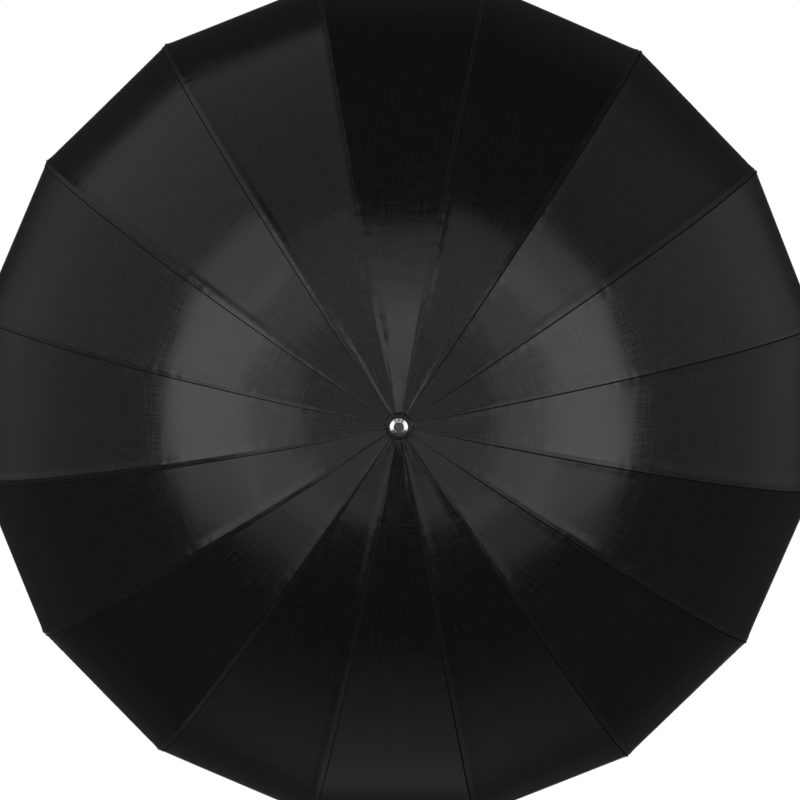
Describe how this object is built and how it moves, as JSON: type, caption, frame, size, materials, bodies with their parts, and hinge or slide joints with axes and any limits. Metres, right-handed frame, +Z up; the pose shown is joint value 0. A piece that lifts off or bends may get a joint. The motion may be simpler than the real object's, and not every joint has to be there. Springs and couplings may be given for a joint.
{
  "type": "umbrella reflector",
  "caption": "Deep folding studio umbrella: black lined canopy on hinged fibreglass ribs, with stretchers, sliding runner, catch and a plain shaft for a stand's clamp.",
  "frame": {"origin": "on the shaft's axis, halfway along the plain stretch that a stand's clamp grips", "axes": "+Y along the shaft from the crown to its free end, +Z up through the middle of a gore"},
  "size_m": [1.279, 0.9552, 1.279],
  "materials": {
    "lined_cloth": "black woven nylon, silver coated inside",
    "black_fibreglass": "pultruded black fibreglass with steel fittings",
    "black_steel": "black lacquered steel channel",
    "steel_tube": "drawn steel tube",
    "chrome": "polished chrome",
    "hub_nylon": "moulded black nylon",
    "bright_wire": "bright spring steel",
    "black_plastic": "moulded black plastic"
  },
  "bodies": {
    "frame": {"shaft": "steel_tube", "shaft_end_cap": "black_plastic", "tip_cap": "chrome", "canopy_washer": "black_plastic", "crown": "hub_nylon", "crown_wire": "bright_wire", "crown_pin": "bright_wire", "stop_rings": "bright_wire"},
    "catch": {"catch": "bright_wire"},
    "runner": {"runner": "hub_nylon", "runner_wire": "bright_wire", "runner_grip": "black_plastic"},
    "rib_01": {"rib_01": "black_fibreglass"},
    "rib_02": {"rib_02": "black_fibreglass"},
    "rib_03": {"rib_03": "black_fibreglass"},
    "rib_04": {"rib_04": "black_fibreglass"},
    "rib_05": {"rib_05": "black_fibreglass"},
    "rib_06": {"rib_06": "black_fibreglass"},
    "rib_07": {"rib_07": "black_fibreglass"},
    "rib_08": {"rib_08": "black_fibreglass"},
    "rib_09": {"rib_09": "black_fibreglass"},
    "rib_10": {"rib_10": "black_fibreglass"},
    "rib_11": {"rib_11": "black_fibreglass"},
    "rib_12": {"rib_12": "black_fibreglass"},
    "rib_13": {"rib_13": "black_fibreglass"},
    "rib_14": {"rib_14": "black_fibreglass"},
    "rib_15": {"rib_15": "black_fibreglass"},
    "rib_16": {"rib_16": "black_fibreglass"},
    "stretcher_01": {"stretcher_01": "black_steel"},
    "stretcher_02": {"stretcher_02": "black_steel"},
    "stretcher_03": {"stretcher_03": "black_steel"},
    "stretcher_04": {"stretcher_04": "black_steel"},
    "stretcher_05": {"stretcher_05": "black_steel"},
    "stretcher_06": {"stretcher_06": "black_steel"},
    "stretcher_07": {"stretcher_07": "black_steel"},
    "stretcher_08": {"stretcher_08": "black_steel"},
    "stretcher_09": {"stretcher_09": "black_steel"},
    "stretcher_10": {"stretcher_10": "black_steel"},
    "stretcher_11": {"stretcher_11": "black_steel"},
    "stretcher_12": {"stretcher_12": "black_steel"},
    "stretcher_13": {"stretcher_13": "black_steel"},
    "stretcher_14": {"stretcher_14": "black_steel"},
    "stretcher_15": {"stretcher_15": "black_steel"},
    "stretcher_16": {"stretcher_16": "black_steel"},
    "gore_01": {"gore_01": "lined_cloth"},
    "gore_02": {"gore_02": "lined_cloth"},
    "gore_03": {"gore_03": "lined_cloth"},
    "gore_04": {"gore_04": "lined_cloth"},
    "gore_05": {"gore_05": "lined_cloth"},
    "gore_06": {"gore_06": "lined_cloth"},
    "gore_07": {"gore_07": "lined_cloth"},
    "gore_08": {"gore_08": "lined_cloth"},
    "gore_09": {"gore_09": "lined_cloth"},
    "gore_10": {"gore_10": "lined_cloth"},
    "gore_11": {"gore_11": "lined_cloth"},
    "gore_12": {"gore_12": "lined_cloth"},
    "gore_13": {"gore_13": "lined_cloth"},
    "gore_14": {"gore_14": "lined_cloth"},
    "gore_15": {"gore_15": "lined_cloth"},
    "gore_16": {"gore_16": "lined_cloth"}
  },
  "joints": [
    {"name": "fold", "type": "hinge", "parent": "frame", "child": "rib_01", "pos_m": [0.00273, -0.87656, 0.01373], "axis": [-0.9808, 0, 0.1951], "range_deg": [0, 48], "deforming": ["gore_01", "gore_02", "gore_03", "gore_04", "gore_05", "gore_06", "gore_07", "gore_08", "gore_09", "gore_10", "gore_11", "gore_12", "gore_13", "gore_14", "gore_15", "gore_16", "catch"]},
    {"name": "rib_02_hinge", "type": "hinge", "parent": "frame", "child": "rib_02", "pos_m": [0.00778, -0.87656, 0.01164], "axis": [-0.8315, 0, 0.5556], "range_deg": [0, 48]},
    {"name": "rib_03_hinge", "type": "hinge", "parent": "frame", "child": "rib_03", "pos_m": [0.01164, -0.87656, 0.00778], "axis": [-0.5556, 0, 0.8315], "range_deg": [0, 48]},
    {"name": "rib_04_hinge", "type": "hinge", "parent": "frame", "child": "rib_04", "pos_m": [0.01373, -0.87656, 0.00273], "axis": [-0.1951, 0, 0.9808], "range_deg": [0, 48]},
    {"name": "rib_05_hinge", "type": "hinge", "parent": "frame", "child": "rib_05", "pos_m": [0.01373, -0.87656, -0.00273], "axis": [0.1951, 0, 0.9808], "range_deg": [0, 48]},
    {"name": "rib_06_hinge", "type": "hinge", "parent": "frame", "child": "rib_06", "pos_m": [0.01164, -0.87656, -0.00778], "axis": [0.5556, 0, 0.8315], "range_deg": [0, 48]},
    {"name": "rib_07_hinge", "type": "hinge", "parent": "frame", "child": "rib_07", "pos_m": [0.00778, -0.87656, -0.01164], "axis": [0.8315, 0, 0.5556], "range_deg": [0, 48]},
    {"name": "rib_08_hinge", "type": "hinge", "parent": "frame", "child": "rib_08", "pos_m": [0.00273, -0.87656, -0.01373], "axis": [0.9808, 0, 0.1951], "range_deg": [0, 48]},
    {"name": "rib_09_hinge", "type": "hinge", "parent": "frame", "child": "rib_09", "pos_m": [-0.00273, -0.87656, -0.01373], "axis": [0.9808, 0, -0.1951], "range_deg": [0, 48]},
    {"name": "rib_10_hinge", "type": "hinge", "parent": "frame", "child": "rib_10", "pos_m": [-0.00778, -0.87656, -0.01164], "axis": [0.8315, 0, -0.5556], "range_deg": [0, 48]},
    {"name": "rib_11_hinge", "type": "hinge", "parent": "frame", "child": "rib_11", "pos_m": [-0.01164, -0.87656, -0.00778], "axis": [0.5556, 0, -0.8315], "range_deg": [0, 48]},
    {"name": "rib_12_hinge", "type": "hinge", "parent": "frame", "child": "rib_12", "pos_m": [-0.01373, -0.87656, -0.00273], "axis": [0.1951, 0, -0.9808], "range_deg": [0, 48]},
    {"name": "rib_13_hinge", "type": "hinge", "parent": "frame", "child": "rib_13", "pos_m": [-0.01373, -0.87656, 0.00273], "axis": [-0.1951, 0, -0.9808], "range_deg": [0, 48]},
    {"name": "rib_14_hinge", "type": "hinge", "parent": "frame", "child": "rib_14", "pos_m": [-0.01164, -0.87656, 0.00778], "axis": [-0.5556, 0, -0.8315], "range_deg": [0, 48]},
    {"name": "rib_15_hinge", "type": "hinge", "parent": "frame", "child": "rib_15", "pos_m": [-0.00778, -0.87656, 0.01164], "axis": [-0.8315, 0, -0.5556], "range_deg": [0, 48]},
    {"name": "rib_16_hinge", "type": "hinge", "parent": "frame", "child": "rib_16", "pos_m": [-0.00273, -0.87656, 0.01373], "axis": [-0.9808, 0, -0.1951], "range_deg": [0, 48]},
    {"name": "stretcher_01_pivot", "type": "hinge", "parent": "rib_01", "child": "stretcher_01", "pos_m": [0.07874, -0.72202, 0.39587], "axis": [-0.9808, 0, 0.1951], "range_deg": [-96, 0]},
    {"name": "stretcher_02_pivot", "type": "hinge", "parent": "rib_02", "child": "stretcher_02", "pos_m": [0.22424, -0.72202, 0.3356], "axis": [-0.8315, 0, 0.5556], "range_deg": [-96, 0]},
    {"name": "stretcher_03_pivot", "type": "hinge", "parent": "rib_03", "child": "stretcher_03", "pos_m": [0.3356, -0.72202, 0.22424], "axis": [-0.5556, 0, 0.8315], "range_deg": [-96, 0]},
    {"name": "stretcher_04_pivot", "type": "hinge", "parent": "rib_04", "child": "stretcher_04", "pos_m": [0.39587, -0.72202, 0.07874], "axis": [-0.1951, 0, 0.9808], "range_deg": [-96, 0]},
    {"name": "stretcher_05_pivot", "type": "hinge", "parent": "rib_05", "child": "stretcher_05", "pos_m": [0.39587, -0.72202, -0.07874], "axis": [0.1951, 0, 0.9808], "range_deg": [-96, 0]},
    {"name": "stretcher_06_pivot", "type": "hinge", "parent": "rib_06", "child": "stretcher_06", "pos_m": [0.3356, -0.72202, -0.22424], "axis": [0.5556, 0, 0.8315], "range_deg": [-96, 0]},
    {"name": "stretcher_07_pivot", "type": "hinge", "parent": "rib_07", "child": "stretcher_07", "pos_m": [0.22424, -0.72202, -0.3356], "axis": [0.8315, 0, 0.5556], "range_deg": [-96, 0]},
    {"name": "stretcher_08_pivot", "type": "hinge", "parent": "rib_08", "child": "stretcher_08", "pos_m": [0.07874, -0.72202, -0.39587], "axis": [0.9808, 0, 0.1951], "range_deg": [-96, 0]},
    {"name": "stretcher_09_pivot", "type": "hinge", "parent": "rib_09", "child": "stretcher_09", "pos_m": [-0.07874, -0.72202, -0.39587], "axis": [0.9808, 0, -0.1951], "range_deg": [-96, 0]},
    {"name": "stretcher_10_pivot", "type": "hinge", "parent": "rib_10", "child": "stretcher_10", "pos_m": [-0.22424, -0.72202, -0.3356], "axis": [0.8315, 0, -0.5556], "range_deg": [-96, 0]},
    {"name": "stretcher_11_pivot", "type": "hinge", "parent": "rib_11", "child": "stretcher_11", "pos_m": [-0.3356, -0.72202, -0.22424], "axis": [0.5556, 0, -0.8315], "range_deg": [-96, 0]},
    {"name": "stretcher_12_pivot", "type": "hinge", "parent": "rib_12", "child": "stretcher_12", "pos_m": [-0.39587, -0.72202, -0.07874], "axis": [0.1951, 0, -0.9808], "range_deg": [-96, 0]},
    {"name": "stretcher_13_pivot", "type": "hinge", "parent": "rib_13", "child": "stretcher_13", "pos_m": [-0.39587, -0.72202, 0.07874], "axis": [-0.1951, 0, -0.9808], "range_deg": [-96, 0]},
    {"name": "stretcher_14_pivot", "type": "hinge", "parent": "rib_14", "child": "stretcher_14", "pos_m": [-0.3356, -0.72202, 0.22424], "axis": [-0.5556, 0, -0.8315], "range_deg": [-96, 0]},
    {"name": "stretcher_15_pivot", "type": "hinge", "parent": "rib_15", "child": "stretcher_15", "pos_m": [-0.22424, -0.72202, 0.3356], "axis": [-0.8315, 0, -0.5556], "range_deg": [-96, 0]},
    {"name": "stretcher_16_pivot", "type": "hinge", "parent": "rib_16", "child": "stretcher_16", "pos_m": [-0.07874, -0.72202, 0.39587], "axis": [-0.9808, 0, -0.1951], "range_deg": [-96, 0]},
    {"name": "runner_pivot", "type": "hinge", "parent": "stretcher_01", "child": "runner", "pos_m": [0.00273, -0.56748, 0.01373], "axis": [-0.9808, 0, 0.1951], "range_deg": [0, 48]},
    {"name": "gore_01_gather", "type": "hinge", "parent": "rib_01", "child": "gore_01", "pos_m": [0, -0.87637, 0.01382], "axis": [0, 0.4002, -0.9164], "range_deg": [0, 18.21]},
    {"name": "gore_02_gather", "type": "hinge", "parent": "rib_02", "child": "gore_02", "pos_m": [0.00529, -0.87637, 0.01277], "axis": [-0.3507, 0.4002, -0.8467], "range_deg": [0, 18.21]},
    {"name": "gore_03_gather", "type": "hinge", "parent": "rib_03", "child": "gore_03", "pos_m": [0.00977, -0.87637, 0.00977], "axis": [-0.648, 0.4002, -0.648], "range_deg": [0, 18.21]},
    {"name": "gore_04_gather", "type": "hinge", "parent": "rib_04", "child": "gore_04", "pos_m": [0.01277, -0.87637, 0.00529], "axis": [-0.8467, 0.4002, -0.3507], "range_deg": [0, 18.21]},
    {"name": "gore_05_gather", "type": "hinge", "parent": "rib_05", "child": "gore_05", "pos_m": [0.01382, -0.87637, 0], "axis": [-0.9164, 0.4002, 0], "range_deg": [0, 18.21]},
    {"name": "gore_06_gather", "type": "hinge", "parent": "rib_06", "child": "gore_06", "pos_m": [0.01277, -0.87637, -0.00529], "axis": [-0.8467, 0.4002, 0.3507], "range_deg": [0, 18.21]},
    {"name": "gore_07_gather", "type": "hinge", "parent": "rib_07", "child": "gore_07", "pos_m": [0.00977, -0.87637, -0.00977], "axis": [-0.648, 0.4002, 0.648], "range_deg": [0, 18.21]},
    {"name": "gore_08_gather", "type": "hinge", "parent": "rib_08", "child": "gore_08", "pos_m": [0.00529, -0.87637, -0.01277], "axis": [-0.3507, 0.4002, 0.8467], "range_deg": [0, 18.21]},
    {"name": "gore_09_gather", "type": "hinge", "parent": "rib_09", "child": "gore_09", "pos_m": [0, -0.87637, -0.01382], "axis": [0, 0.4002, 0.9164], "range_deg": [0, 18.21]},
    {"name": "gore_10_gather", "type": "hinge", "parent": "rib_10", "child": "gore_10", "pos_m": [-0.00529, -0.87637, -0.01277], "axis": [0.3507, 0.4002, 0.8467], "range_deg": [0, 18.21]},
    {"name": "gore_11_gather", "type": "hinge", "parent": "rib_11", "child": "gore_11", "pos_m": [-0.00977, -0.87637, -0.00977], "axis": [0.648, 0.4002, 0.648], "range_deg": [0, 18.21]},
    {"name": "gore_12_gather", "type": "hinge", "parent": "rib_12", "child": "gore_12", "pos_m": [-0.01277, -0.87637, -0.00529], "axis": [0.8467, 0.4002, 0.3507], "range_deg": [0, 18.21]},
    {"name": "gore_13_gather", "type": "hinge", "parent": "rib_13", "child": "gore_13", "pos_m": [-0.01382, -0.87637, 0], "axis": [0.9164, 0.4002, 0], "range_deg": [0, 18.21]},
    {"name": "gore_14_gather", "type": "hinge", "parent": "rib_14", "child": "gore_14", "pos_m": [-0.01277, -0.87637, 0.00529], "axis": [0.8467, 0.4002, -0.3507], "range_deg": [0, 18.21]},
    {"name": "gore_15_gather", "type": "hinge", "parent": "rib_15", "child": "gore_15", "pos_m": [-0.00977, -0.87637, 0.00977], "axis": [0.648, 0.4002, -0.648], "range_deg": [0, 18.21]},
    {"name": "gore_16_gather", "type": "hinge", "parent": "rib_16", "child": "gore_16", "pos_m": [-0.00529, -0.87637, 0.01277], "axis": [0.3507, 0.4002, -0.8467], "range_deg": [0, 18.21]},
    {"name": "catch_press", "type": "hinge", "parent": "frame", "child": "catch", "pos_m": [0, -0.49386, 0.001], "axis": [1, 0, 0], "range_deg": [0, 5.5], "stiffness_Nm_per_rad": 0.4}
  ],
  "couplings": [
    {"joint": "rib_02_hinge", "follows": "fold", "ratio": 1},
    {"joint": "rib_03_hinge", "follows": "fold", "ratio": 1},
    {"joint": "rib_04_hinge", "follows": "fold", "ratio": 1},
    {"joint": "rib_05_hinge", "follows": "fold", "ratio": 1},
    {"joint": "rib_06_hinge", "follows": "fold", "ratio": 1},
    {"joint": "rib_07_hinge", "follows": "fold", "ratio": 1},
    {"joint": "rib_08_hinge", "follows": "fold", "ratio": 1},
    {"joint": "rib_09_hinge", "follows": "fold", "ratio": 1},
    {"joint": "rib_10_hinge", "follows": "fold", "ratio": 1},
    {"joint": "rib_11_hinge", "follows": "fold", "ratio": 1},
    {"joint": "rib_12_hinge", "follows": "fold", "ratio": 1},
    {"joint": "rib_13_hinge", "follows": "fold", "ratio": 1},
    {"joint": "rib_14_hinge", "follows": "fold", "ratio": 1},
    {"joint": "rib_15_hinge", "follows": "fold", "ratio": 1},
    {"joint": "rib_16_hinge", "follows": "fold", "ratio": 1},
    {"joint": "stretcher_01_pivot", "follows": "fold", "ratio": -2},
    {"joint": "stretcher_02_pivot", "follows": "fold", "ratio": -2},
    {"joint": "stretcher_03_pivot", "follows": "fold", "ratio": -2},
    {"joint": "stretcher_04_pivot", "follows": "fold", "ratio": -2},
    {"joint": "stretcher_05_pivot", "follows": "fold", "ratio": -2},
    {"joint": "stretcher_06_pivot", "follows": "fold", "ratio": -2},
    {"joint": "stretcher_07_pivot", "follows": "fold", "ratio": -2},
    {"joint": "stretcher_08_pivot", "follows": "fold", "ratio": -2},
    {"joint": "stretcher_09_pivot", "follows": "fold", "ratio": -2},
    {"joint": "stretcher_10_pivot", "follows": "fold", "ratio": -2},
    {"joint": "stretcher_11_pivot", "follows": "fold", "ratio": -2},
    {"joint": "stretcher_12_pivot", "follows": "fold", "ratio": -2},
    {"joint": "stretcher_13_pivot", "follows": "fold", "ratio": -2},
    {"joint": "stretcher_14_pivot", "follows": "fold", "ratio": -2},
    {"joint": "stretcher_15_pivot", "follows": "fold", "ratio": -2},
    {"joint": "stretcher_16_pivot", "follows": "fold", "ratio": -2},
    {"joint": "runner_pivot", "follows": "fold", "ratio": 1},
    {"joint": "gore_01_gather", "follows": "fold", "ratio": 0.37927},
    {"joint": "gore_02_gather", "follows": "fold", "ratio": 0.37927},
    {"joint": "gore_03_gather", "follows": "fold", "ratio": 0.37927},
    {"joint": "gore_04_gather", "follows": "fold", "ratio": 0.37927},
    {"joint": "gore_05_gather", "follows": "fold", "ratio": 0.37927},
    {"joint": "gore_06_gather", "follows": "fold", "ratio": 0.37927},
    {"joint": "gore_07_gather", "follows": "fold", "ratio": 0.37927},
    {"joint": "gore_08_gather", "follows": "fold", "ratio": 0.37927},
    {"joint": "gore_09_gather", "follows": "fold", "ratio": 0.37927},
    {"joint": "gore_10_gather", "follows": "fold", "ratio": 0.37927},
    {"joint": "gore_11_gather", "follows": "fold", "ratio": 0.37927},
    {"joint": "gore_12_gather", "follows": "fold", "ratio": 0.37927},
    {"joint": "gore_13_gather", "follows": "fold", "ratio": 0.37927},
    {"joint": "gore_14_gather", "follows": "fold", "ratio": 0.37927},
    {"joint": "gore_15_gather", "follows": "fold", "ratio": 0.37927},
    {"joint": "gore_16_gather", "follows": "fold", "ratio": 0.37927}
  ]
}
